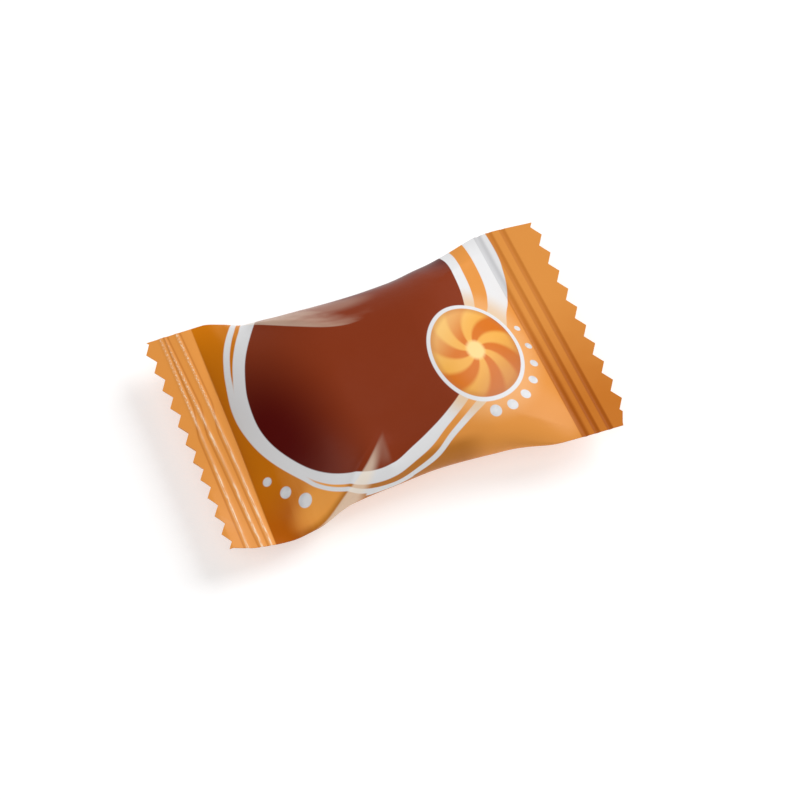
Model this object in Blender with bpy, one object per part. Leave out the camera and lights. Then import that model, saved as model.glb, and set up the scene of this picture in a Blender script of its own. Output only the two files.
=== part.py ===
"""Wrapped caramel candy: a flow-wrapped pillow pack with two ribbed, zigzag-cut end seals.

The pack lies on its back. X runs along it, +Y is the far side, +Z is up, and the origin is
under its middle, on the surface that it rests on. The film is one closed solid: a printed
front sheet and a back sheet with the lengthwise fin seam, joined along both sides and ends.
"""

import bmesh
import bpy
import numpy as np

MM = 0.001

# Driving sizes; shares of the length run from 0 to 1 over LENGTH, and the cuts lie just outside it
LENGTH = 48.5 * MM
FLAT_WIDTH = 30.0 * MM
MIDDLE_HEIGHT = 5.0 * MM
FRONT_BULGE = 5.7 * MM
BACK_BULGE = 5.2 * MM
FILM_AT_SEAL = 0.40 * MM
TOOTH_DEPTH = 0.86 * MM
ROWS_PER_HALF_TOOTH = 2
BODY_COLUMNS = 44

# The middle of the pack's outline, which becomes the origin
OUTLINE_MIDDLE = (0.342 * MM, -0.086 * MM, 0.0)

# Zigzag cuts: where the middle of the teeth runs, at the near and the far side, and how far it bows inward
LEFT_CUT = (-24.57 * MM, -24.42 * MM)
RIGHT_CUT = (25.30 * MM, 24.17 * MM)
LEFT_CUT_BOW = 0.28 * MM
# Each cut from the far corner to the near one: how far up a tooth the far corner is, the first valley, the
# distance between valleys, the number of teeth, then what is left at the near corner, as (place, height)
LEFT_TEETH = (0.25, 0.984, 0.1748, 11, ((-1.0, 0.66),))
RIGHT_TEETH = (0.45, 0.960, 0.1814, 10, ((-0.880, 0.28), (-0.970, -0.37), (-1.0, -0.50)))

# The fin seam: the lengthwise strip that lies folded down along the back
FIN_HALF_WIDTH = 3.5 * MM
FIN_THICKNESS = 0.42 * MM
FIN_EDGE = 0.35 * MM
BACK_CLEARANCE = 0.35 * MM
BACK_ROUNDING = 0.30 * MM

# Where each seal folds into the body, at the near and the far side
LEFT_FOLD = (-19.2 * MM, -18.7 * MM)
RIGHT_FOLD = (19.5 * MM, 17.1 * MM)

# Crimped ribs across each seal: distance from the fold at the near and the far side, then height, in mm
LEFT_RIBS = ((0.85, 1.80, 0.16), (1.90, 3.35, 0.18), (3.55, 4.35, 0.16))
RIGHT_RIBS = ((0.42, 0.42, -0.16), (1.75, 1.75, -0.18), (3.35, 3.35, -0.18))
RIB_HALF_WIDTH = 0.36

# The body opens from flat at a fold to its full section over this distance
OPENING_LENGTH = 13.5 * MM
OPENING_POWER = 0.85
ROUNDING_LENGTH = 10.0 * MM
LENS_POWER = 2.0
ROUND_POWER = 1.0

# The sides narrow where the body fills out: (share of the length, half width in mm)
FAR_SIDE = (
    (0.00, 15.00), (0.14, 15.02), (0.19, 14.33), (0.24, 13.28), (0.32, 12.55), (0.50, 12.35),
    (0.60, 12.52), (0.70, 13.38), (0.79, 14.40), (0.88, 15.45), (1.00, 15.00),
)
NEAR_SIDE = (
    (0.00, 14.90), (0.06, 15.40), (0.15, 15.62), (0.21, 15.25), (0.32, 13.60), (0.42, 13.25),
    (0.55, 12.75), (0.70, 13.20), (0.85, 14.80), (1.00, 15.00),
)
# The near side hangs below the other at the left end: (share of the length, drop in mm)
NEAR_DROP = (
    (0.00, 0.10), (0.06, 0.90), (0.15, 1.40), (0.22, 1.20), (0.32, 0.30), (0.42, 0.00), (1.00, 0.00),
)

# Folds of the film: start and end (x, y), height, then how far its left and right flanks reach, all in mm
FRONT_CREASES = (
    ((-12.2, 12.4), (-2.0, 5.8), 0.60, 2.8, 0.9),
    ((-11.6, -15.2), (-3.2, -7.8), 0.60, 0.9, 2.4),
    ((-3.6, -12.8), (-3.2, -7.8), 0.20, 1.2, 1.0),
    ((17.0, 13.2), (8.5, 8.6), 0.35, 1.0, 2.4),
    ((18.8, -13.4), (11.0, -9.4), 0.22, 2.2, 2.2),
)
BACK_CREASES = (
    ((-14.5, 12.6), (-5.0, 7.6), 0.50, 2.4, 1.0),
    ((-14.5, -13.6), (-5.5, -8.0), 0.50, 1.0, 2.4),
    ((16.5, 12.6), (8.0, 7.8), 0.45, 1.0, 2.4),
    ((17.5, -12.8), (8.5, -7.8), 0.45, 2.4, 1.0),
)
CREASE_SHARPNESS = 0.15
CREASE_FADE_IN = 0.15
CREASE_FADE_OUT = 0.60

FILM_COLOUR = (0.78, 0.33, 0.07, 1.0)
FILM_ROUGHNESS = 0.35


def ease(value):
    """0 below 0, 1 above 1, and a smooth step between."""
    value = np.clip(value, 0.0, 1.0)
    return value * value * (3.0 - 2.0 * value)


def across(ends, film):
    """A value that runs from ends[0] at the near side (film = -1) to ends[1] at the far side (film = 1)."""
    return ends[0] + (ends[1] - ends[0]) * (film + 1.0) / 2.0


def through(points, share):
    """A smooth curve through (share, millimetres) points that never swings past them, in metres."""
    shares, values = np.array(points).T
    steps = np.diff(values) / np.diff(shares)
    before, after = steps[:-1], steps[1:]
    same_way = before * after > 0.0
    inner = np.where(same_way, 2.0 * before * after / np.where(same_way, before + after, 1.0), 0.0)
    slopes = np.concatenate([steps[:1], inner, steps[-1:]])
    start = np.clip(np.searchsorted(shares, share) - 1, 0, len(shares) - 2)
    span = shares[start + 1] - shares[start]
    part = np.clip((share - shares[start]) / span, 0.0, 1.0)
    rise = values[start] + (values[start + 1] - values[start]) * ease(part)
    rise = rise + slopes[start] * span * (part - 2.0 * part**2 + part**3)
    rise = rise + slopes[start + 1] * span * (part**3 - part**2)
    return rise * MM


def share_of_length(x):
    return x / LENGTH + 0.5


def side_of(film, x):
    """Half width of the pack at x, on the side that film is on."""
    share = share_of_length(x)
    return np.where(film > 0, through(FAR_SIDE, share), through(NEAR_SIDE, share))


def drop_of(film, x):
    return through(NEAR_DROP, share_of_length(x)) * ease(-film)


def crease_relief(x, y, creases):
    """Height that the folds add: each is a ridge with two straight flanks that fades along its length."""
    relief = np.zeros(np.broadcast(x, y).shape)
    for start, end, height, left_flank, right_flank in creases:
        along = np.subtract(end, start)
        length = np.hypot(*along)
        ahead, aside = along / length
        from_start_x = x / MM - start[0]
        from_start_y = y / MM - start[1]
        part = (from_start_x * ahead + from_start_y * aside) / length
        off = from_start_y * ahead - from_start_x * aside
        flank = np.where(off > 0, left_flank, right_flank)
        fade = ease((part + CREASE_FADE_IN) / (2 * CREASE_FADE_IN)) * ease((1.0 - part) / CREASE_FADE_OUT)
        distance = np.sqrt(off**2 + CREASE_SHARPNESS**2) - CREASE_SHARPNESS
        relief += height * MM * fade * np.exp(-distance / flank)
    return relief


def section(side, bulge, power, film):
    """(y, z) of a half tube that is side wide and bulge high, at film = -1 to 1, spread evenly along the film."""
    turn = np.linspace(0.0, np.pi / 2, 160)
    wide = np.sin(turn)
    high = np.cos(turn) ** power
    steps = np.hypot(np.diff(wide) * side, np.diff(high) * bulge)
    length = np.concatenate([[0.0], np.cumsum(steps)])
    reach = np.abs(film) * length[-1]
    y = np.sign(film) * side * np.interp(reach, length, wide)
    return y, bulge * np.interp(reach, length, high)


def cut_line(teeth):
    """Corners, valleys and tips of a zigzag cut, as (place across the film, how far up a tooth)."""
    corner, first, pitch, count, rest = teeth
    line = [(1.0, corner)]
    line += [(first - step * pitch / 2.0, float(step % 2)) for step in range(2 * count + 1)]
    return np.array(line + list(rest))


def cut_rows(teeth):
    """Where each row meets a cut, so that every tip and every valley has a row of its own."""
    places = cut_line(teeth)[:, 0]
    numbers = np.arange((len(places) - 1) * ROWS_PER_HALF_TOOTH + 1) / ROWS_PER_HALF_TOOTH
    return np.interp(numbers, np.arange(len(places)), places)


def tooth_edge(film, outward):
    """The zigzag cut itself."""
    cut, bow, teeth = (LEFT_CUT, LEFT_CUT_BOW, LEFT_TEETH) if outward < 0 else (RIGHT_CUT, 0.0, RIGHT_TEETH)
    line = cut_line(teeth)[::-1]
    height = np.interp(film, line[:, 0], line[:, 1])
    return across(cut, film) + outward * (TOOTH_DEPTH * (height - 0.5) - bow * (1.0 - film**2))


def seal_steps(ribs):
    """A seal's columns from the fold outward: (distances at the near and far side, height of the relief)."""
    steps = []
    for near, far, height in ribs:
        for off, share in ((-RIB_HALF_WIDTH, 0.0), (0.0, 1.0), (RIB_HALF_WIDTH, 0.0)):
            steps.append((((near + off) * MM, (far + off) * MM), share * height * MM))
    return steps


def fin_relief(film, half_width):
    """1 on the fin seam's face and 0 beside it."""
    off = np.abs(film) * half_width
    return ease((FIN_HALF_WIDTH + FIN_EDGE - off) / (2.0 * FIN_EDGE))


def seal_column(x, relief, film, front):
    """Points across one column of a seal, raised by relief where a rib runs along it."""
    y = side_of(film, x) * film
    z = MIDDLE_HEIGHT - drop_of(film, x) + relief
    if front:
        return np.stack([x, y, z + FILM_AT_SEAL / 2.0], axis=-1)
    fin = fin_relief(film, FLAT_WIDTH / 2.0) * FIN_THICKNESS / 2.0
    return np.stack([x, y, z - FILM_AT_SEAL / 2.0 - fin], axis=-1)


def body_column(share, film, front):
    """Points across one column of the body, share of the way from the left fold to the right one."""
    left, right = across(LEFT_FOLD, film), across(RIGHT_FOLD, film)
    x = left + share * (right - left)
    from_left = share * (right - left)
    from_right = (right - left) - from_left
    opened = (
        np.sin(np.pi / 2.0 * np.clip(from_left / OPENING_LENGTH, 0.0, 1.0))
        * np.sin(np.pi / 2.0 * np.clip(from_right / OPENING_LENGTH, 0.0, 1.0))
    ) ** OPENING_POWER
    nearest = np.minimum(from_left, from_right).mean()
    power = LENS_POWER + (ROUND_POWER - LENS_POWER) * ease(nearest / ROUNDING_LENGTH)
    bulge = FRONT_BULGE if front else BACK_BULGE
    y = np.empty_like(film)
    z = np.empty_like(film)
    for side in (film > 0, film <= 0):
        half_width = side_of(film, x)[side].mean()
        y[side], z[side] = section(half_width, bulge * opened.mean(), power, film[side])
    middle = MIDDLE_HEIGHT - drop_of(film, x)
    if front:
        z = middle + z + crease_relief(x, y, FRONT_CREASES) * ease(2.0 * opened)
        return np.stack([x, y, z + FILM_AT_SEAL / 2.0], axis=-1)
    z = middle - z - crease_relief(x, y, BACK_CREASES) * ease(2.0 * opened) - FILM_AT_SEAL / 2.0
    above = z - BACK_CLEARANCE
    z = BACK_CLEARANCE + (above + np.hypot(above, BACK_ROUNDING)) / 2.0
    fin = fin_relief(film, FLAT_WIDTH / 2.0) * FIN_THICKNESS
    return np.stack([x, y, np.maximum(z - fin, 0.0)], axis=-1)


def film_sheet(front):
    """Every column of one sheet, from the left cut to the right one."""
    left_rows, right_rows = cut_rows(LEFT_TEETH), cut_rows(RIGHT_TEETH)
    columns = [seal_column(tooth_edge(left_rows, -1), 0.0, left_rows, front)]
    for distances, relief in reversed(seal_steps(LEFT_RIBS)):
        x = across(LEFT_FOLD, left_rows) - across(distances, left_rows)
        columns.append(seal_column(x, relief, left_rows, front))
    for place in np.linspace(0.0, 1.0, BODY_COLUMNS + 1):
        # Columns stand closer together near the folds, where the film bends most.
        share = place - 0.09 * np.sin(2.0 * np.pi * place)
        columns.append(body_column(share, left_rows + (right_rows - left_rows) * place, front))
    for distances, relief in seal_steps(RIGHT_RIBS):
        x = across(RIGHT_FOLD, right_rows) + across(distances, right_rows)
        columns.append(seal_column(x, relief, right_rows, front))
    columns.append(seal_column(tooth_edge(right_rows, 1), 0.0, right_rows, front))
    return np.array(columns) - np.array(OUTLINE_MIDDLE)


def wrapper_mesh():
    """Rings of points round the pack, one for each column, bridged by faces and closed at both cuts."""
    made = bmesh.new()
    rings = []
    for front, back in zip(film_sheet(True), film_sheet(False)):
        ring = [made.verts.new(point) for point in front]
        ring += [made.verts.new(point) for point in back[::-1]]
        rings.append(ring)
    around = len(rings[0])
    for ring, following in zip(rings, rings[1:]):
        for place in range(around):
            beside = (place + 1) % around
            made.faces.new((ring[place], ring[beside], following[beside]))
            made.faces.new((ring[place], following[beside], following[place]))
    for ring, flipped in ((rings[0], True), (rings[-1], False)):
        for place in range(around // 2 - 1):
            corners = [ring[place], ring[place + 1], ring[around - 2 - place], ring[around - 1 - place]]
            made.faces.new(corners[::-1] if flipped else corners)
    bmesh.ops.recalc_face_normals(made, faces=made.faces)
    mesh = bpy.data.meshes.new("wrapper")
    made.to_mesh(mesh)
    made.free()
    mesh.shade_smooth()
    return mesh


def film_material():
    """Printed caramel-orange film with a soft gloss."""
    material = bpy.data.materials.new("film")
    material.use_nodes = True
    shader = material.node_tree.nodes["Principled BSDF"]
    shader.inputs["Base Color"].default_value = FILM_COLOUR
    shader.inputs["Roughness"].default_value = FILM_ROUGHNESS
    shader.inputs["Metallic"].default_value = 0.0
    return material


def main():
    for old in list(bpy.data.objects):
        bpy.data.objects.remove(old, do_unlink=True)
    wrapper = bpy.data.objects.new("wrapper", wrapper_mesh())
    wrapper.data.materials.append(film_material())
    bpy.context.scene.collection.objects.link(wrapper)


main()
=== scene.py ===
"""Wrapped caramel candy, dressed: printed film over the solid, with its seals, creases and fin seam."""

import math

import bmesh
import bpy
import numpy as np
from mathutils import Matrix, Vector


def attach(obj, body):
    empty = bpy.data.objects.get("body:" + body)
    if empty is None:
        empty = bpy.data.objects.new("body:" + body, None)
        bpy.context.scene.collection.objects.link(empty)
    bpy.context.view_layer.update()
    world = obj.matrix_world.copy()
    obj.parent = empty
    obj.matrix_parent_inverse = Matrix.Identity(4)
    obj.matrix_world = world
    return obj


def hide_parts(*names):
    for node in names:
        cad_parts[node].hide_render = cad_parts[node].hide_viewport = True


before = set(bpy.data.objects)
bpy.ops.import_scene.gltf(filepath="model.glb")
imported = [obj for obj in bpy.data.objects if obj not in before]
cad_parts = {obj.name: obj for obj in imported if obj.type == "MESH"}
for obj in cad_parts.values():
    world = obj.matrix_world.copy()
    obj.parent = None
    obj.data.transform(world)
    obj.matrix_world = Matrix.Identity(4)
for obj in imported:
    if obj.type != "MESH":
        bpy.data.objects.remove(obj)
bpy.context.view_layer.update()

MM = 0.001

# Driving sizes, those of the solid; shares of the length run from 0 to 1 over LENGTH
LENGTH = 48.5 * MM
FLAT_WIDTH = 30.0 * MM
MIDDLE_HEIGHT = 5.0 * MM
FRONT_BULGE = 5.7 * MM
BACK_BULGE = 5.2 * MM
OUTLINE_MIDDLE = (0.342 * MM, -0.086 * MM, 0.0)

# Zigzag cuts: where the middle of the teeth runs, at the near and the far side, and how it bows inward
TOOTH_DEPTH = 0.86 * MM
LEFT_CUT = (-24.57 * MM, -24.42 * MM)
RIGHT_CUT = (25.30 * MM, 24.17 * MM)
LEFT_CUT_BOW = 0.28 * MM
# Each cut from the far corner to the near one: how far up a tooth the far corner is, the first valley,
# the distance between valleys, the number of teeth, then the (place, height) points left over
LEFT_TEETH = (0.25, 0.984, 0.1748, 11, ((-1.0, 0.66),))
RIGHT_TEETH = (0.45, 0.960, 0.1814, 10, ((-0.880, 0.28), (-0.970, -0.37), (-1.0, -0.50)))

# The fin seam, thinner than the solid's: the lengthwise strip that lies folded down along the back
FIN_HALF_WIDTH = 3.5 * MM
FIN_THICKNESS = 0.30 * MM
FIN_EDGE = 0.12 * MM
BACK_CLEARANCE = 0.32 * MM
BACK_ROUNDING = 0.30 * MM

# Where each seal folds into the body, at the near and the far side
LEFT_FOLD = (-19.2 * MM, -18.7 * MM)
RIGHT_FOLD = (19.5 * MM, 17.1 * MM)

# Crimped ribs across each seal, lower than the solid's: distance from the fold at the near and the far
# side, then height, in mm
LEFT_RIBS = ((0.50, 1.80, 0.07), (1.65, 3.35, 0.08), (3.35, 3.80, 0.07))
RIGHT_RIBS = ((0.35, 0.35, -0.06), (1.75, 1.75, -0.06), (3.35, 3.35, -0.06))
RIB_HALF_WIDTH = 0.36

# The body opens from flat at a fold to its full section over this distance
OPENING_LENGTH = 13.5 * MM
OPENING_POWER = 0.85
ROUNDING_LENGTH = 10.0 * MM
LENS_POWER = 2.0
ROUND_POWER = 1.0

# The sides narrow where the body fills out: (share of the length, half width in mm)
FAR_SIDE = (
    (0.00, 15.00), (0.14, 15.02), (0.19, 14.33), (0.24, 13.28), (0.32, 12.55), (0.50, 12.35),
    (0.60, 12.52), (0.70, 13.38), (0.79, 14.40), (0.88, 15.45), (1.00, 15.00),
)
NEAR_SIDE = (
    (0.00, 14.90), (0.06, 15.40), (0.15, 15.62), (0.21, 15.25), (0.32, 13.60), (0.42, 13.25),
    (0.55, 12.75), (0.70, 13.20), (0.85, 14.80), (1.00, 15.00),
)
# The near side hangs lower at the left end: (share of the length, drop in mm)
NEAR_DROP = (
    (0.00, 0.10), (0.06, 0.90), (0.15, 1.40), (0.22, 1.20), (0.32, 0.30), (0.42, 0.00), (1.00, 0.00),
)

# Folds of the film: start and end (x, y), height, then the reach of the left and right flanks, in mm
FRONT_CREASES = (
    ((-12.2, 12.4), (-2.0, 5.8), 0.60, 2.8, 0.9),
    ((-11.6, -15.2), (-3.2, -7.8), 0.60, 0.9, 2.4),
    ((-3.6, -12.8), (-3.2, -7.8), 0.20, 1.2, 1.0),
    ((17.0, 13.2), (8.5, 8.6), 0.35, 1.0, 2.4),
    ((18.8, -13.4), (11.0, -9.4), 0.22, 2.2, 2.2),
)
BACK_CREASES = (
    ((-14.5, 12.6), (-5.0, 7.6), 0.50, 2.4, 1.0),
    ((-14.5, -13.6), (-5.5, -8.0), 0.50, 1.0, 2.4),
    ((16.5, 12.6), (8.0, 7.8), 0.45, 1.0, 2.4),
    ((17.5, -12.8), (8.5, -7.8), 0.45, 2.4, 1.0),
)

# Crisper than the solid's folds
CREASE_SHARPNESS = 0.08
CREASE_FADE_IN = 0.15
CREASE_FADE_OUT = 0.60

# The film as it is drawn here
FILM_THICKNESS = 0.12 * MM
ROWS_PER_HALF_TOOTH = 6
BODY_COLUMNS = 220
SEAL_COLUMNS = 36
TEETH_START = 0.80
FOLD_CROWDING = 0.09
SECTION_STEPS = 400
SHARP_ANGLE = 50.0
SHEET_HALF_WIDTH = 15.0
PRINT_SPAN = 60.0

# Gloss and fine relief of the film
FILM_IOR = 1.22
FILM_ROUGHNESS = (0.28, 0.38)
BUMP_STRENGTH = 0.25
BUMP_HEIGHT = 0.08 * MM

# The floor
FLOOR_HALF_WIDTH = 1.5
FLOOR_GREY = 0.62
FLOOR_ROUGHNESS = 0.9
FLOOR_SHINE = 0.1
FLOOR_GLOW = 0.50

# The lights: name, place, size and watts
LIGHTS = (
    ("key", (0.86, 0.26, 0.80), (0.80, 0.80), 12.0),
    ("fill", (-0.40, -0.50, 1.03), (0.90, 0.90), 4.4),
    ("back", (-0.18, 1.14, 0.34), (1.20, 0.25), 0.3),
)
LIGHT_AIM = (0.0, 0.0, 0.005)
ROOM_LIGHT = 0.25

# The photograph's view: its angles in degrees, and where the pack's middle falls in the frame
VIEW_AZIMUTH = 20.28
VIEW_ELEVATION = 58.4
VIEW_DISTANCE = 2.50
PIXELS_PER_MM = 8.51
MIDDLE_PIXEL = (383.75, 384.5)
FRAME_PIXELS = 800
SENSOR = 36.0


def ease(value):
    """0 below 0, 1 above 1, and a smooth step between."""
    value = np.clip(value, 0.0, 1.0)
    return value * value * (3.0 - 2.0 * value)


def across(ends, film):
    """A value from ends[0] at the near side, film = -1, to ends[1] at the far side, film = 1."""
    return ends[0] + (ends[1] - ends[0]) * (film + 1.0) / 2.0


def through(points, share):
    """A smooth curve through (share, millimetres) points that never swings past them, in metres."""
    shares, values = np.array(points).T
    steps = np.diff(values) / np.diff(shares)
    before, after = steps[:-1], steps[1:]
    same_way = before * after > 0.0
    inner = np.where(same_way, 2.0 * before * after / np.where(same_way, before + after, 1.0), 0.0)
    slopes = np.concatenate([steps[:1], inner, steps[-1:]])
    start = np.clip(np.searchsorted(shares, share) - 1, 0, len(shares) - 2)
    span = shares[start + 1] - shares[start]
    part = np.clip((share - shares[start]) / span, 0.0, 1.0)
    rise = values[start] + (values[start + 1] - values[start]) * ease(part)
    rise = rise + slopes[start] * span * (part - 2.0 * part**2 + part**3)
    rise = rise + slopes[start + 1] * span * (part**3 - part**2)
    return rise * MM


def share_of_length(x):
    return x / LENGTH + 0.5


def side_of(film, x):
    """Half width of the pack at x, on the side that film is on."""
    share = share_of_length(x)
    return np.where(film > 0, through(FAR_SIDE, share), through(NEAR_SIDE, share))


def drop_of(film, x):
    return through(NEAR_DROP, share_of_length(x)) * ease(-film)


def crease_relief(x, y, creases):
    """Height that the creases add: each is a ridge with two flanks that fades along its length."""
    relief = np.zeros(np.broadcast(x, y).shape)
    for start, end, height, left_flank, right_flank in creases:
        along = np.subtract(end, start)
        length = np.hypot(*along)
        ahead, aside = along / length
        from_start_x = x / MM - start[0]
        from_start_y = y / MM - start[1]
        part = (from_start_x * ahead + from_start_y * aside) / length
        off = from_start_y * ahead - from_start_x * aside
        flank = np.where(off > 0, left_flank, right_flank)
        fade = ease((part + CREASE_FADE_IN) / (2.0 * CREASE_FADE_IN))
        fade = fade * ease((1.0 - part) / CREASE_FADE_OUT)
        distance = np.sqrt(off**2 + CREASE_SHARPNESS**2) - CREASE_SHARPNESS
        relief += height * MM * fade * np.exp(-distance / flank)
    return relief


def section(side, bulge, power, film):
    """(y, z) of a half tube, side wide and bulge high, for film from -1 to 1 spread evenly over it."""
    turn = np.linspace(0.0, np.pi / 2, SECTION_STEPS)
    wide = np.sin(turn)
    high = np.cos(turn) ** power
    steps = np.hypot(np.diff(wide) * side, np.diff(high) * bulge)
    length = np.concatenate([[0.0], np.cumsum(steps)])
    reach = np.abs(film) * length[-1]
    y = np.sign(film) * side * np.interp(reach, length, wide)
    return y, bulge * np.interp(reach, length, high)


def cut_line(teeth):
    """Corners, valleys and tips of a zigzag cut, as (place across the film, how far up a tooth)."""
    corner, first, pitch, count, rest = teeth
    line = [(1.0, corner)]
    line += [(first - step * pitch / 2.0, float(step % 2)) for step in range(2 * count + 1)]
    return np.array(line + list(rest))


def cut_rows(teeth):
    """Where each row meets a cut, so that every tip and every valley has a row of its own."""
    places = cut_line(teeth)[:, 0]
    numbers = np.arange((len(places) - 1) * ROWS_PER_HALF_TOOTH + 1) / ROWS_PER_HALF_TOOTH
    return np.interp(numbers, np.arange(len(places)), places)


def tooth_edge(film, outward):
    """The zigzag cut itself."""
    if outward < 0:
        cut, bow, teeth = LEFT_CUT, LEFT_CUT_BOW, LEFT_TEETH
    else:
        cut, bow, teeth = RIGHT_CUT, 0.0, RIGHT_TEETH
    line = cut_line(teeth)[::-1]
    height = np.interp(film, line[:, 0], line[:, 1])
    return across(cut, film) + outward * (TOOTH_DEPTH * (height - 0.5) - bow * (1.0 - film**2))


def rib_relief(distance, ribs, film):
    """Height of the crimped ribs at each point of a seal, by its distance from the fold."""
    relief = np.zeros_like(film)
    for near, far, height in ribs:
        off = np.clip(np.abs(distance / MM - across((near, far), film)) / RIB_HALF_WIDTH, 0.0, 1.0)
        relief += height * MM * (1.0 + np.cos(np.pi * off)) / 2.0
    return relief


def fin_relief(film):
    """1 on the fin seam's face and 0 beside it."""
    off = np.abs(film) * FLAT_WIDTH / 2.0
    return ease((FIN_HALF_WIDTH + FIN_EDGE - off) / (2.0 * FIN_EDGE))


def seal_column(part, outward, film, front):
    """Points across one column of a seal, part of the way from the fold (0) to the zigzag cut (1)."""
    fold, ribs = (LEFT_FOLD, LEFT_RIBS) if outward < 0 else (RIGHT_FOLD, RIGHT_RIBS)
    inner, edge = across(fold, film), tooth_edge(film, outward)
    straight = across((edge[-1], edge[0]), film)
    x = inner + (straight - inner) * part
    x = x + (edge - straight) * ease((part - TEETH_START) / (1.0 - TEETH_START))
    y = side_of(film, x) * film
    z = MIDDLE_HEIGHT - drop_of(film, x) + rib_relief(np.abs(x - inner), ribs, film)
    if front:
        return np.stack([x, y, z + FILM_THICKNESS / 2.0], axis=-1)
    return np.stack([x, y, z - FILM_THICKNESS / 2.0 - fin_relief(film) * FIN_THICKNESS / 2.0], axis=-1)


def body_column(share, film, front):
    """Points across one column of the body, share of the way from the left fold to the right one."""
    left, right = across(LEFT_FOLD, film), across(RIGHT_FOLD, film)
    x = left + share * (right - left)
    from_left = share * (right - left)
    from_right = (right - left) - from_left
    opened = (
        np.sin(np.pi / 2.0 * np.clip(from_left / OPENING_LENGTH, 0.0, 1.0))
        * np.sin(np.pi / 2.0 * np.clip(from_right / OPENING_LENGTH, 0.0, 1.0))
    ) ** OPENING_POWER
    nearest = np.minimum(from_left, from_right).mean()
    power = LENS_POWER + (ROUND_POWER - LENS_POWER) * ease(nearest / ROUNDING_LENGTH)
    bulge = FRONT_BULGE if front else BACK_BULGE
    y = np.empty_like(film)
    z = np.empty_like(film)
    for side in (film > 0, film <= 0):
        half_width = side_of(film, x)[side].mean()
        y[side], z[side] = section(half_width, bulge * opened.mean(), power, film[side])
    middle = MIDDLE_HEIGHT - drop_of(film, x)
    if front:
        z = middle + z + crease_relief(x, y, FRONT_CREASES) * ease(2.0 * opened)
        return np.stack([x, y, z + FILM_THICKNESS / 2.0], axis=-1)
    z = middle - z - crease_relief(x, y, BACK_CREASES) * ease(2.0 * opened) - FILM_THICKNESS / 2.0
    above = z - BACK_CLEARANCE
    z = BACK_CLEARANCE + (above + np.hypot(above, BACK_ROUNDING)) / 2.0
    return np.stack([x, y, np.maximum(z - fin_relief(film) * FIN_THICKNESS, 0.0)], axis=-1)


def film_sheet(front):
    """The columns of one sheet from the left cut to the right one, and where their rows lie."""
    left_rows, right_rows = cut_rows(LEFT_TEETH), cut_rows(RIGHT_TEETH)
    seal_parts = np.arange(1, SEAL_COLUMNS + 1) / SEAL_COLUMNS
    films = [left_rows] * SEAL_COLUMNS
    columns = [seal_column(part, -1, left_rows, front) for part in seal_parts[::-1]]
    for place in np.linspace(0.0, 1.0, BODY_COLUMNS + 1):
        # Columns stand closer together near the folds, where the film bends most.
        share = place - FOLD_CROWDING * np.sin(2.0 * np.pi * place)
        films.append(left_rows + (right_rows - left_rows) * place)
        columns.append(body_column(share, films[-1], front))
    films += [right_rows] * SEAL_COLUMNS
    columns += [seal_column(part, 1, right_rows, front) for part in seal_parts]
    return np.array(columns), np.array(films)


def print_place(points, film, front):
    """UV of each point on the flat printed film, with the edges at the fin seam at V 0 and 1."""
    across_film = film * SHEET_HALF_WIDTH
    if not front:
        across_film = np.where(film > 0, 1.0, -1.0) * (2.0 * SHEET_HALF_WIDTH - np.abs(across_film))
    u = points[..., 0] / MM / PRINT_SPAN + 0.5
    return np.stack([u, across_film / PRINT_SPAN + 0.5], axis=-1)


def grid_faces(columns, rows, first, flipped):
    """Quads over a columns by rows grid of points that starts at number first."""
    place = first + np.arange(columns * rows).reshape(columns, rows)
    corners = [place[:-1, :-1], place[:-1, 1:], place[1:, 1:], place[1:, :-1]]
    quads = np.stack(corners, axis=-1).reshape(-1, 4)
    return quads[:, ::-1] if flipped else quads


def make_wrapper():
    """The film as one closed mesh: a front and a back sheet, joined along the sides and the cuts."""
    front, film = film_sheet(True)
    back = film_sheet(False)[0]
    count, rows = film.shape
    total = count * rows
    points = np.concatenate([front.reshape(-1, 3), back.reshape(-1, 3)]) - np.array(OUTLINE_MIDDLE)
    front_uvs = print_place(front, film, True).reshape(-1, 2)
    back_uvs = print_place(back, film, False).reshape(-1, 2)
    uvs = np.concatenate([front_uvs, back_uvs])
    place = np.arange(total).reshape(count, rows)
    under = place + total
    edges = (
        (place[:, 0], under[:, 0]),
        (place[::-1, -1], under[::-1, -1]),
        (place[0, ::-1], under[0, ::-1]),
        (place[-1], under[-1]),
    )
    walls = [np.stack([edge[:-1], edge[1:], below[1:], below[:-1]], axis=-1) for edge, below in edges]
    top = grid_faces(count, rows, 0, False)
    bottom = grid_faces(count, rows, total, True)
    faces = np.concatenate([top, bottom, *walls])
    mesh = bpy.data.meshes.new("wrapper_film")
    mesh.from_pydata(points.tolist(), [], faces.tolist())
    layer = mesh.uv_layers.new(name="film")
    layer.data.foreach_set("uv", uvs[faces.ravel()].ravel())
    checked = bmesh.new()
    checked.from_mesh(mesh)
    bmesh.ops.recalc_face_normals(checked, faces=checked.faces)
    checked.to_mesh(mesh)
    checked.free()
    mesh.shade_smooth()
    mesh.set_sharp_from_angle(angle=math.radians(SHARP_ANGLE))
    piece = bpy.data.objects.new("wrapper_film", mesh)
    bpy.context.scene.collection.objects.link(piece)
    return piece


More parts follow.
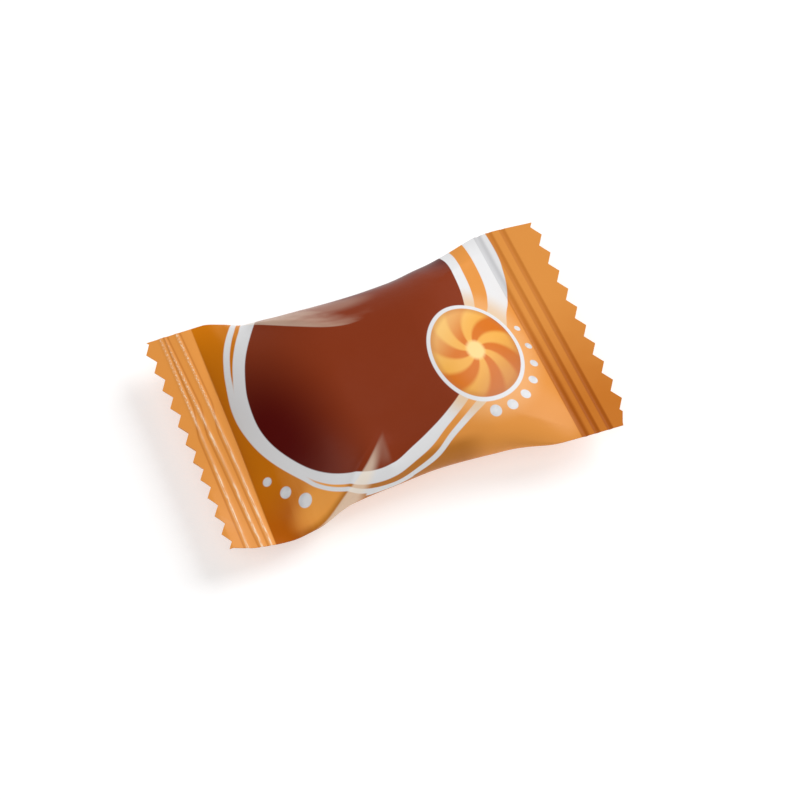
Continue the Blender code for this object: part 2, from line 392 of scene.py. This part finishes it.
class Field:
    """A number at every point of the film, worked out by shader nodes."""

    def __init__(self, tree, socket):
        self.tree = tree
        self.socket = socket

    def join(self, operation, *others):
        node = self.tree.nodes.new("ShaderNodeMath")
        node.operation = operation
        for socket, value in zip(node.inputs, (self, *others)):
            if isinstance(value, Field):
                self.tree.links.new(value.socket, socket)
            else:
                socket.default_value = value
        return Field(self.tree, node.outputs[0])

    def __add__(self, other):
        return self.join("ADD", other)

    def __sub__(self, other):
        return self.join("SUBTRACT", other)

    def __mul__(self, other):
        return self.join("MULTIPLY", other)

    def __abs__(self):
        return self.join("ABSOLUTE")

    def least(self, other):
        return self.join("MINIMUM", other)

    def most(self, other):
        return self.join("MAXIMUM", other)

    def ramp(self, low, high, to_low=0.0, to_high=1.0):
        """to_low up to low, to_high from high on, and a smooth step between."""
        node = self.tree.nodes.new("ShaderNodeMapRange")
        node.interpolation_type = "SMOOTHSTEP"
        self.tree.links.new(self.socket, node.inputs["Value"])
        node.inputs["From Min"].default_value = low
        node.inputs["From Max"].default_value = high
        node.inputs["To Min"].default_value = to_low
        node.inputs["To Max"].default_value = to_high
        return Field(self.tree, node.outputs["Result"])

    def inside(self, edge=0.07):
        """1 where the field is below 0 and 0 where it is above, with a soft edge."""
        return self.ramp(edge, -edge)

    def near(self, place, reach):
        """1 where the field is at place, falling to 0 at reach on both sides of it."""
        return abs(self - place).ramp(reach, 0.0)

    def curve(self, places, values, top):
        """A smooth curve through the values, each at its place from 0 to 1."""
        node = self.tree.nodes.new("ShaderNodeFloatCurve")
        self.tree.links.new(self.socket, node.inputs["Value"])
        line = node.mapping.curves[0]
        for _ in values[2:]:
            line.points.new(0.5, 0.5)
        for point, place, value in zip(line.points, places, values):
            point.location = (place, value / top)
        node.mapping.update()
        return Field(self.tree, node.outputs["Value"]) * top


class Film:
    """The flat printed film: a place in millimetres, and tools to draw on it."""

    def __init__(self, tree):
        self.tree = tree
        uv = tree.nodes.new("ShaderNodeUVMap")
        uv.uv_map = "film"
        scaled = tree.nodes.new("ShaderNodeVectorMath")
        scaled.operation = "MULTIPLY_ADD"
        tree.links.new(uv.outputs["UV"], scaled.inputs[0])
        scaled.inputs[1].default_value = (PRINT_SPAN, PRINT_SPAN, 0.0)
        scaled.inputs[2].default_value = (-PRINT_SPAN / 2.0, -PRINT_SPAN / 2.0, 0.0)
        self.place = scaled.outputs["Vector"]
        self.x, self.v = self.split(self.place)

    def split(self, vector):
        node = self.tree.nodes.new("ShaderNodeSeparateXYZ")
        self.tree.links.new(vector, node.inputs["Vector"])
        return Field(self.tree, node.outputs["X"]), Field(self.tree, node.outputs["Y"])

    def local(self, centre, size=(1.0, 1.0), turn=0.0):
        """The place seen from centre, turned back by turn degrees and divided by size."""
        node = self.tree.nodes.new("ShaderNodeMapping")
        node.vector_type = "TEXTURE"
        self.tree.links.new(self.place, node.inputs["Vector"])
        node.inputs["Location"].default_value = (*centre, 0.0)
        node.inputs["Rotation"].default_value = (0.0, 0.0, math.radians(turn))
        node.inputs["Scale"].default_value = (*size, 1.0)
        return node.outputs["Vector"]

    def away(self, centre, radii=(1.0, 1.0), turn=0.0):
        """Distance from centre, in multiples of the radii."""
        node = self.tree.nodes.new("ShaderNodeVectorMath")
        node.operation = "LENGTH"
        self.tree.links.new(self.local(centre, radii, turn), node.inputs[0])
        return Field(self.tree, node.outputs["Value"])

    def ellipse(self, centre, radii, turn=0.0):
        """Distance outside an ellipse, in about millimetres, and negative inside it."""
        return (self.away(centre, radii, turn) - 1.0) * (sum(radii) / 2.0)

    def turn_about(self, centre, start):
        """How far round centre the place lies, from 0 to 1 anticlockwise from the angle start."""
        right, up = self.split(self.local(centre, turn=start))
        return (up.join("ARCTAN2", right) * (0.5 / math.pi)).join("FRACT")

    def line(self, start, end):
        """Distance along the line from start to end, and distance to its left, in millimetres."""
        turn = math.degrees(math.atan2(end[1] - start[1], end[0] - start[0]))
        return self.split(self.local(start, turn=turn))

    def noise(self, size, detail=2.0, seed=0.0, turn=0.0):
        """Smooth noise from 0 to 1 whose features are about size = (along, across) millimetres."""
        node = self.tree.nodes.new("ShaderNodeTexNoise")
        node.noise_dimensions = "3D"
        self.tree.links.new(self.local((seed, seed * 0.7), size, turn), node.inputs["Vector"])
        node.inputs["Scale"].default_value = 1.0
        node.inputs["Detail"].default_value = detail
        return Field(self.tree, node.outputs["Fac"])

    def paint(self, under, over, mask, blend="MIX"):
        """The colour under, covered or multiplied by over where mask is 1."""
        node = self.tree.nodes.new("ShaderNodeMix")
        node.data_type = "RGBA"
        node.blend_type = blend
        self.tree.links.new(mask.socket, node.inputs["Factor"])
        for name, colour in (("A", under), ("B", over)):
            socket = [s for s in node.inputs if s.name == name and s.type == "RGBA"][0]
            if isinstance(colour, bpy.types.NodeSocket):
                self.tree.links.new(colour, socket)
            else:
                socket.default_value = rgba(colour)
        return [s for s in node.outputs if s.type == "RGBA"][0]


def rgba(colour):
    """Linear colour of an sRGB triple from 0 to 255."""
    values = [c / 255.0 for c in colour]
    linear = [c / 12.92 if c <= 0.04045 else ((c + 0.055) / 1.055) ** 2.4 for c in values]
    return (*linear, 1.0)


ORANGE = (227, 149, 69)
ORANGE_SEAL = (236, 156, 74)
# Painted shade of the right seal, darker towards the near side
ORANGE_NEAR_SHADE = (200, 116, 36)
# Painted shade of the left body slope beside the left seal, deepest low down
ORANGE_SLOPE_SHADE = (208, 118, 4)
ORANGE_SLOPE_SHADE_DEEPEST = (180, 90, 0)
# Painted light on the orange ground by the near crease
ORANGE_PAINTED_LIGHT = (248, 166, 68)
BROWN = (133, 52, 22)
# Painted shade of the brown field
BROWN_PAINTED_SHADE = (84, 4, 0)
WHITE = (230, 230, 231)
# Painted shade in the right seal's grooves, on white
WHITE_GROOVE_SHADE = (204, 204, 206)
TAN = (228, 192, 148)
PEACH = (238, 178, 118)
CREAM = (226, 226, 228)
CREAM_SHADE = (204, 206, 210)
OVAL_SHADE = (190, 112, 62)
OVAL_DEEP = (214, 114, 22)
OVAL_WARM = (238, 174, 78)
OVAL_LIGHT = (250, 212, 140)
# Painted shade beside the left seal's crimps
CRIMP_SHADE = (222, 206, 186)
# Painted shade in the right seal's grooves, on orange
BAND_SHADE = (216, 194, 158)
# Painted highlight along the left seal's crimps
STREAK_HIGHLIGHT = (250, 226, 196)
# Painted shade beside the near crease
FOLD_SHADE = (214, 205, 180)
# Painted highlight along the far and the near crease
SHEEN = (252, 234, 210)

# Soft patches of painted shade and painted light on the print: centre and radii in mm, and turn in
# degrees, on the flat film
FIELD_PAINTED_SHADE = ((-15.5, -4.0), (8.5, 14.0), 15.0)
GROUND_PAINTED_LIGHT = ((-12.4, -12.5), (3.6, 2.0), 20.0)
HIGHLIGHT_PRONG = ((-4.0, 11.4), (5.0, 1.5), -8.0)

# The swirl oval and the beads on the print, in mm and degrees on the flat film
OVAL_CENTRE = (10.8, -1.9)
OVAL_RADII = (5.7, 6.9)
OVAL_TURN = -6.0
OVAL_RIM = 0.50
SWIRL_ARMS = 6
SWIRL_TWIST = 0.9
OVAL_BEADS = 7
OVAL_BEADS_START = -86.0
OVAL_BEADS_STEP = 19.0
OVAL_BEADS_REACH = (1.20, 1.18)
OVAL_BEAD_RADIUS = 0.72
OVAL_BEAD_SHRINK = 0.06
CORNER_BEADS = 3
CORNER_BEADS_START = 212.0
CORNER_BEADS_STEP = 8.0
CORNER_BEADS_REACH = 18.3
CORNER_BEAD_RADIUS = 0.50
CORNER_BEAD_GROWTH = 0.14

# The bands round the brown field: an angle in degrees about the centre, how far the field reaches
# there, then how wide the inner white, the orange and the outer white band are, in mm
RING_CENTRE = (-2.0, 2.0)
RINGS = (
    (-20, 12.7, 1.20, 1.30, 1.60),
    (0, 13.0, 1.20, 1.50, 2.45),
    (10, 14.0, 1.32, 1.78, 2.80),
    (20, 15.2, 1.45, 2.08, 3.20),
    (30, 16.7, 1.48, 2.14, 3.45),
    (40, 18.6, 1.52, 1.85, 2.90),
    (60, 21.3, 1.20, 1.20, 2.00),
    (80, 21.2, 1.30, 0.70, 1.20),
    (100, 19.4, 1.90, 0.50, 0.50),
    (120, 16.5, 2.10, 0.50, 0.40),
    (140, 14.2, 1.55, 0.52, 0.70),
    (160, 13.8, 1.40, 0.27, 0.73),
    (180, 14.2, 1.30, 0.00, 0.70),
    (200, 14.9, 0.92, 0.00, 0.57),
    (220, 15.1, 0.83, 0.00, 0.50),
    (230, 15.2, 0.98, 0.16, 0.42),
    (240, 15.2, 1.15, 0.26, 0.45),
    (260, 14.7, 1.58, 0.71, 0.80),
    (280, 13.2, 1.65, 0.95, 0.75),
    (300, 12.6, 1.15, 0.75, 0.70),
    (320, 12.7, 1.20, 1.00, 1.10),
    (340, 12.7, 1.20, 1.30, 1.60),
)

# Painted highlights along the left seal's crimps: how far each lies outside the fold at the near and
# the far side, in mm, and the seed of its breaks
STREAKS = ((0.50, 1.80, 4.0), (1.65, 3.35, 21.0), (3.35, 3.80, 37.0))
STREAK_HALF_WIDTH = 0.26
STREAK_SHADOW = 0.42
STREAK_SHADOW_HALF_WIDTH = 0.20
# The levels across the film between which the dashes turn into dots and the shadow changes sides, and
# the size of a dash and of a dot, along the pack and across it
DASHES_TO_DOTS = (0.0, 7.0)
SHADOW_CROSSING = (0.0, 5.0)
DASH_SIZE = (0.12, 1.4)
DOT_SIZE = (0.12, 0.3)

# Pressed grooves of the right seal, darkened with painted shade: how far the later two lie outside the
# fold, in mm
PRESSED_PLACES = (1.75, 3.35)

# Fold lines of the two creases with painted highlights: where each bends from, its level there and how
# fast it bends, in mm, then where the near one's highlight streak comes to its tip and how fast it
# widens
FAR_FOLD_MIDDLE = -1.5
FAR_FOLD_LEVEL = 6.5
FAR_FOLD_BEND = 0.0588
NEAR_FOLD_START = -14.0
NEAR_FOLD_LEVEL = -14.97
NEAR_FOLD_BEND = 0.054
NEAR_STREAK_TIP = -3.55
NEAR_STREAK_SPREAD = 0.45


def from_fold(film, fold, outward, sides):
    """Distance in mm outside a fold, less sides[0] at the near side and sides[1] at the far side."""
    near = outward * fold[0] / MM + sides[0]
    far = outward * fold[1] / MM + sides[1]
    slope = (far - near) / (2.0 * SHEET_HALF_WIDTH)
    return film.x * outward - (film.v * slope + (near + far) / 2.0)


def ring_colours(film, ground, band, white):
    """White, orange and white bands round a brown field whose painted shade is darkest at its left and
    far edge.
    """
    angles, *widths = zip(*RINGS)
    turn = film.turn_about(RING_CENTRE, angles[0])
    places = [(angle - angles[0]) / 360.0 for angle in angles]
    field, inner, middle, outer = [turn.curve(places, width, max(width)) for width in widths]
    brown = film.away(RING_CENTRE) - field
    first = brown - inner
    orange = first - middle
    last = orange - outer
    colour = film.paint(ground, white, last.inside())
    colour = film.paint(colour, band, orange.inside() * middle.ramp(0.02, 0.2))
    colour = film.paint(colour, white, first.inside())
    # Painted shade on the brown field: darkest at its left, over the slope in real shade, and along the
    # far edge
    painted_shade = film.away(*FIELD_PAINTED_SHADE).ramp(1.25, 0.15)
    far = film.v.ramp(10.5, 15.0) * film.v.ramp(19.5, 15.5) * film.x.ramp(-4.5, 0.0)
    return film.paint(colour, film.paint(BROWN, BROWN_PAINTED_SHADE, painted_shade.most(far)), brown.inside())


def swirl_colours(film):
    """A plain oval with a soft swirl inside a cream rim, and how far outside it a place lies."""
    oval = film.ellipse(OVAL_CENTRE, OVAL_RADII, OVAL_TURN)
    reach = film.away(OVAL_CENTRE, OVAL_RADII, OVAL_TURN)
    right, up = film.split(film.local(OVAL_CENTRE, OVAL_RADII, OVAL_TURN))
    arms_round = up.join("ARCTAN2", right) * (SWIRL_ARMS / (2.0 * math.pi))
    phase = (arms_round + reach * SWIRL_TWIST).join("FRACT")
    arm = abs(phase - 0.5).ramp(0.16, 0.34)
    swirl = film.paint(OVAL_DEEP, OVAL_WARM, arm)
    swirl = film.paint(swirl, OVAL_SHADE, (right - up).ramp(0.1, 1.3) * 0.65)
    swirl = film.paint(swirl, OVAL_LIGHT, (right - up).ramp(-0.3, -1.2) * 0.55)
    swirl = film.paint(swirl, OVAL_SHADE, reach.ramp(0.78, 0.92) * 0.45)
    swirl = film.paint(swirl, OVAL_LIGHT, reach.ramp(0.24, 0.14))
    return film.paint(swirl, CREAM, oval.ramp(-OVAL_RIM - 0.07, -OVAL_RIM + 0.07)), oval


def beads_field(film):
    """Two rows of round cream beads, one beside the oval and one outside the bands: negative inside."""
    turned = math.radians(OVAL_TURN)
    beads = []
    for step in range(OVAL_BEADS):
        angle = math.radians(OVAL_BEADS_START + OVAL_BEADS_STEP * step)
        right = math.cos(angle) * OVAL_RADII[0] * OVAL_BEADS_REACH[0]
        up = math.sin(angle) * OVAL_RADII[1] * OVAL_BEADS_REACH[1]
        x = OVAL_CENTRE[0] + right * math.cos(turned) - up * math.sin(turned)
        v = OVAL_CENTRE[1] + right * math.sin(turned) + up * math.cos(turned)
        beads.append(((x, v), OVAL_BEAD_RADIUS - OVAL_BEAD_SHRINK * step))
    for step in range(CORNER_BEADS):
        angle = math.radians(CORNER_BEADS_START + CORNER_BEADS_STEP * step)
        x = RING_CENTRE[0] + CORNER_BEADS_REACH * math.cos(angle)
        v = RING_CENTRE[1] + CORNER_BEADS_REACH * math.sin(angle)
        beads.append(((x, v), CORNER_BEAD_RADIUS + CORNER_BEAD_GROWTH * step))
    field = None
    for centre, radius in beads:
        bead = film.ellipse(centre, (radius, radius))
        field = bead if field is None else field.least(bead)
    return field


def groove_shade_bands(right):
    """1 along the three grooves pressed across the right seal, where their shade is painted."""
    bands = right.ramp(-0.24, -0.14) * right.ramp(1.0, 0.5)
    for place in PRESSED_PLACES:
        bands = bands.most(abs(right - place).ramp(0.50, 0.24))
    return bands * 0.9


def ground_colour(film, left, right, groove_shade):
    """Orange ground: painted shade beside the left seal, low down on the right seal and by the near
    crease; painted light by the near fold.
    """
    tone = film.noise((9.0, 6.0), 3.0, 3.0)
    # Painted shade: the right seal darkens unevenly towards the near side
    low = (film.v * 0.05 + tone * 0.4).ramp(0.5, -0.4)
    ground = film.paint(ORANGE, ORANGE_NEAR_SHADE, low * right.ramp(-0.5, 0.5) * 0.9)
    ground = film.paint(ground, ORANGE_SEAL, left.ramp(2.5, 0.0) * left.ramp(-0.1, 0.1))
    # Painted shade on the left slope beside the left seal, deepest low down, over its real shade
    body = left.ramp(0.05, -0.12)
    lowest = film.v.ramp(-7.0, -14.0)
    slope_shade = film.paint(ORANGE_SLOPE_SHADE, ORANGE_SLOPE_SHADE_DEEPEST, lowest * film.x.ramp(-13.0, -16.5))
    edge = film.x + film.noise((0.9, 9.0), 2.0, 17.0).ramp(0.3, 0.7, -0.7, 0.7)
    ground = film.paint(ground, slope_shade, body * edge.ramp(-11.0, -17.0))
    # Painted light: a lighter patch of orange by the near crease
    light = film.ellipse(*GROUND_PAINTED_LIGHT).ramp(1.4, -1.4)
    ground = film.paint(ground, ORANGE_PAINTED_LIGHT, light * 0.75)
    # Painted shade along the near crease, beside its highlight
    below, _, _ = near_streak(film)
    painted_shade = below.ramp(-1.0, -0.05) * film.v.ramp(-11.5, -13.0)
    painted_shade = painted_shade * left.ramp(-1.5, -4.5) * film.x.ramp(9.0, 5.0)
    ground = film.paint(ground, FOLD_SHADE, painted_shade * film.v.ramp(-18.5, -15.5), "MULTIPLY")
    # Painted shade in the right seal's grooves, over their shallow real relief
    return film.paint(ground, BAND_SHADE, groove_shade * film.v.ramp(9.0, -11.0, 0.7, 1.1), "MULTIPLY")


def print_colour(film):
    """The printed film: orange ground, rings round a brown field, a swirl oval and cream beads."""
    left = from_fold(film, LEFT_FOLD, -1, (0.0, 0.0))
    right = from_fold(film, RIGHT_FOLD, 1, (0.0, 0.0))
    groove_shade = groove_shade_bands(right)
    ground = ground_colour(film, left, right, groove_shade)
    swirl, oval = swirl_colours(film)
    white = film.paint(WHITE, TAN, oval.ramp(3.4, 0.2, 0.0, 0.8))
    # Painted shade in the right seal's grooves, on the white bands and the beads
    white = film.paint(white, WHITE_GROOVE_SHADE, groove_shade)
    ground = film.paint(ground, PEACH, oval.ramp(3.0, 0.2, 0.0, 0.6) * right.ramp(0.3, -0.3))
    colour = ring_colours(film, ground, ground, white)
    colour = film.paint(colour, swirl, oval.inside())
    beads = beads_field(film)
    grain = film.noise((1.0, 3.0), 2.0, 9.0, -40.0).ramp(0.35, 0.65)
    cream = film.paint(CREAM, CREAM_SHADE, grain * beads.ramp(-0.9, 0.0))
    cream = film.paint(cream, WHITE_GROOVE_SHADE, groove_shade)
    colour = film.paint(colour, cream, beads.inside())
    return paint_crimp_and_crease_shading(film, colour)


def far_crease_highlight(film):
    """Where a highlight is painted on the far shoulder: above a crisp fold, in two prongs that fade to
    the right.
    """
    beside = film.x - FAR_FOLD_MIDDLE
    above = film.v - (beside * beside * FAR_FOLD_BEND + FAR_FOLD_LEVEL)
    ragged_x = film.x + film.noise((4.0, 1.3), 2.0, 27.0, -14.0).ramp(0.3, 0.7, -1.0, 1.0)
    whole = ragged_x.ramp(-1.0, -8.5) * film.x.ramp(-7.0, -11.5, 1.0, 1.3)
    upper = film.ellipse(*HIGHLIGHT_PRONG).ramp(1.5, -1.3) * 0.42
    lower = above.ramp(2.2, 0.3) * ragged_x.ramp(1.0, -6.5)
    return above.ramp(0.0, 0.22) * whole.most(upper.most(lower)) * film.v.ramp(17.0, 12.0)


def near_streak(film):
    """Distance below the near fold, and the painted highlight streak and branch along it."""
    ahead = film.x - NEAR_FOLD_START
    below = ahead * ahead * NEAR_FOLD_BEND + ahead * NEAR_FOLD_BEND + NEAR_FOLD_LEVEL - film.v
    fan = (film.x - NEAR_STREAK_TIP) * NEAR_STREAK_SPREAD + below
    streak = below.ramp(-0.1, 0.30) * fan.ramp(1.7, -0.4)
    streak = streak * film.x.ramp(-3.2, -5.8) * film.x.ramp(-16.0, -13.0)
    branch = below.ramp(0.1, 0.6) * film.x.ramp(-3.1, -3.8) * film.v.ramp(-13.0, -11.0)
    return below, streak, branch * film.x.ramp(-5.5, -3.6, 0.4, 1.0)


def paint_crimp_and_crease_shading(film, colour):
    """Painted light and shade of the crimps and folds: broken bright streaks with shade beside them,
    and highlights along the creases.
    """
    for near, far, seed in STREAKS:
        streak = from_fold(film, LEFT_FOLD, -1, (near, far))
        dashes = film.noise(DASH_SIZE, 3.0, seed).ramp(0.40, 0.58)
        dashes = dashes * film.v.ramp(*DASHES_TO_DOTS, 1.0, 0.15)
        dots = film.noise(DOT_SIZE, 2.0, seed + 9.0).ramp(0.48, 0.62)
        dots = dots * film.v.ramp(*DASHES_TO_DOTS, 0.0, 0.9)
        patchy = film.noise((2.0, 7.0), 1.0, seed + 5.0).ramp(0.30, 0.55)
        # Painted shade beside each crimp
        side = film.v.ramp(*SHADOW_CROSSING, -STREAK_SHADOW, STREAK_SHADOW)
        shadow = (streak + side).near(0.0, STREAK_SHADOW_HALF_WIDTH)
        colour = film.paint(colour, CRIMP_SHADE, shadow * 0.8, "MULTIPLY")
        # Painted highlight along each crimp, broken into dashes and dots
        whole = film.v.ramp(*DASHES_TO_DOTS, 0.16, 0.05)
        bright = streak.near(0.0, STREAK_HALF_WIDTH) * ((dashes + dots) * patchy * 0.80 + whole)
        colour = film.paint(colour, STREAK_HIGHLIGHT, bright)
    # Painted highlights along the far and the near crease, over the real creases of the mesh
    colour = film.paint(colour, SHEEN, far_crease_highlight(film) * 0.36)
    _, streak, branch = near_streak(film)
    colour = film.paint(colour, SHEEN, branch * 0.09)
    return film.paint(colour, SHEEN, streak * film.v.ramp(-9.0, -13.5, 0.34, 0.60))


def film_material():
    """Printed film: satin gloss, with slight unevenness in colour, gloss and surface."""
    material = bpy.data.materials.new("printed_film")
    material.use_nodes = True
    tree = material.node_tree
    shader = tree.nodes["Principled BSDF"]
    film = Film(tree)
    tree.links.new(print_colour(film), shader.inputs["Base Color"])
    gloss = film.noise((6.0, 4.0), 4.0, 11.0).ramp(0.2, 0.8, *FILM_ROUGHNESS)
    tree.links.new(gloss.socket, shader.inputs["Roughness"])
    shader.inputs["IOR"].default_value = FILM_IOR
    bump = tree.nodes.new("ShaderNodeBump")
    bump.inputs["Strength"].default_value = BUMP_STRENGTH
    bump.inputs["Distance"].default_value = BUMP_HEIGHT
    tree.links.new(film.noise((1.6, 1.1), 3.0, 5.0).socket, bump.inputs["Height"])
    tree.links.new(bump.outputs["Normal"], shader.inputs["Normal"])
    return material


def make_stage():
    """A pale floor that the pack lies on, lit a little from below like a light table."""
    mesh = bpy.data.meshes.new("floor")
    half = FLOOR_HALF_WIDTH
    corners = [(-half, -half, 0), (half, -half, 0), (half, half, 0), (-half, half, 0)]
    mesh.from_pydata(corners, [], [(0, 1, 2, 3)])
    floor = bpy.data.objects.new("floor", mesh)
    bpy.context.scene.collection.objects.link(floor)
    material = bpy.data.materials.new("floor")
    material.use_nodes = True
    tree = material.node_tree
    shader = tree.nodes["Principled BSDF"]
    shader.inputs["Base Color"].default_value = (FLOOR_GREY, FLOOR_GREY, FLOOR_GREY, 1.0)
    shader.inputs["Roughness"].default_value = FLOOR_ROUGHNESS
    shader.inputs["Specular IOR Level"].default_value = FLOOR_SHINE
    shader.inputs["Emission Color"].default_value = (1.0, 1.0, 1.0, 1.0)
    shader.inputs["Emission Strength"].default_value = FLOOR_GLOW
    mesh.materials.append(material)


def make_light(name, where, size, watts):
    """A soft rectangular light that looks at the pack."""
    light = bpy.data.lights.new(name, "AREA")
    light.shape = "RECTANGLE"
    light.size, light.size_y = size
    light.energy = watts
    lamp = bpy.data.objects.new(name, light)
    lamp.location = where
    aim = Vector(LIGHT_AIM) - Vector(where)
    lamp.rotation_euler = aim.to_track_quat("-Z", "Y").to_euler()
    bpy.context.scene.collection.objects.link(lamp)


def make_world(strength):
    """Even white light from all round."""
    world = bpy.data.worlds.new("room")
    world.use_nodes = True
    background = world.node_tree.nodes["Background"]
    background.inputs["Color"].default_value = (1.0, 1.0, 1.0, 1.0)
    background.inputs["Strength"].default_value = strength
    bpy.context.scene.world = world


def make_camera():
    """A long lens at the photograph's viewing angle."""
    turn, lift = math.radians(VIEW_AZIMUTH), math.radians(VIEW_ELEVATION)
    ahead = Vector((math.sin(turn) * math.cos(lift), math.cos(turn) * math.cos(lift), -math.sin(lift)))
    right = Vector((math.cos(turn), -math.sin(turn), 0.0))
    up = right.cross(ahead)
    shown = FRAME_PIXELS / PIXELS_PER_MM * MM
    offset_right = (FRAME_PIXELS / 2 - MIDDLE_PIXEL[0]) / PIXELS_PER_MM * MM
    offset_up = (MIDDLE_PIXEL[1] - FRAME_PIXELS / 2) / PIXELS_PER_MM * MM
    data = bpy.data.cameras.new("camera")
    data.sensor_width = SENSOR
    data.lens = SENSOR * VIEW_DISTANCE / shown
    data.clip_start, data.clip_end = 0.01, 20.0
    camera = bpy.data.objects.new("camera", data)
    middle = Vector((-OUTLINE_MIDDLE[0], -OUTLINE_MIDDLE[1], MIDDLE_HEIGHT))
    camera.location = middle - ahead * VIEW_DISTANCE + right * offset_right + up * offset_up
    camera.rotation_mode = "QUATERNION"
    camera.rotation_quaternion = ahead.to_track_quat("-Z", "Y")
    bpy.context.scene.collection.objects.link(camera)
    bpy.context.scene.camera = camera


make_camera()
wrapper = make_wrapper()
wrapper.data.materials.append(film_material())
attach(wrapper, "root")
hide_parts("wrapper")
make_stage()
for name, where, size, watts in LIGHTS:
    make_light(name, where, size, watts)
make_world(ROOM_LIGHT)
bpy.context.scene.view_settings.view_transform = "Standard"
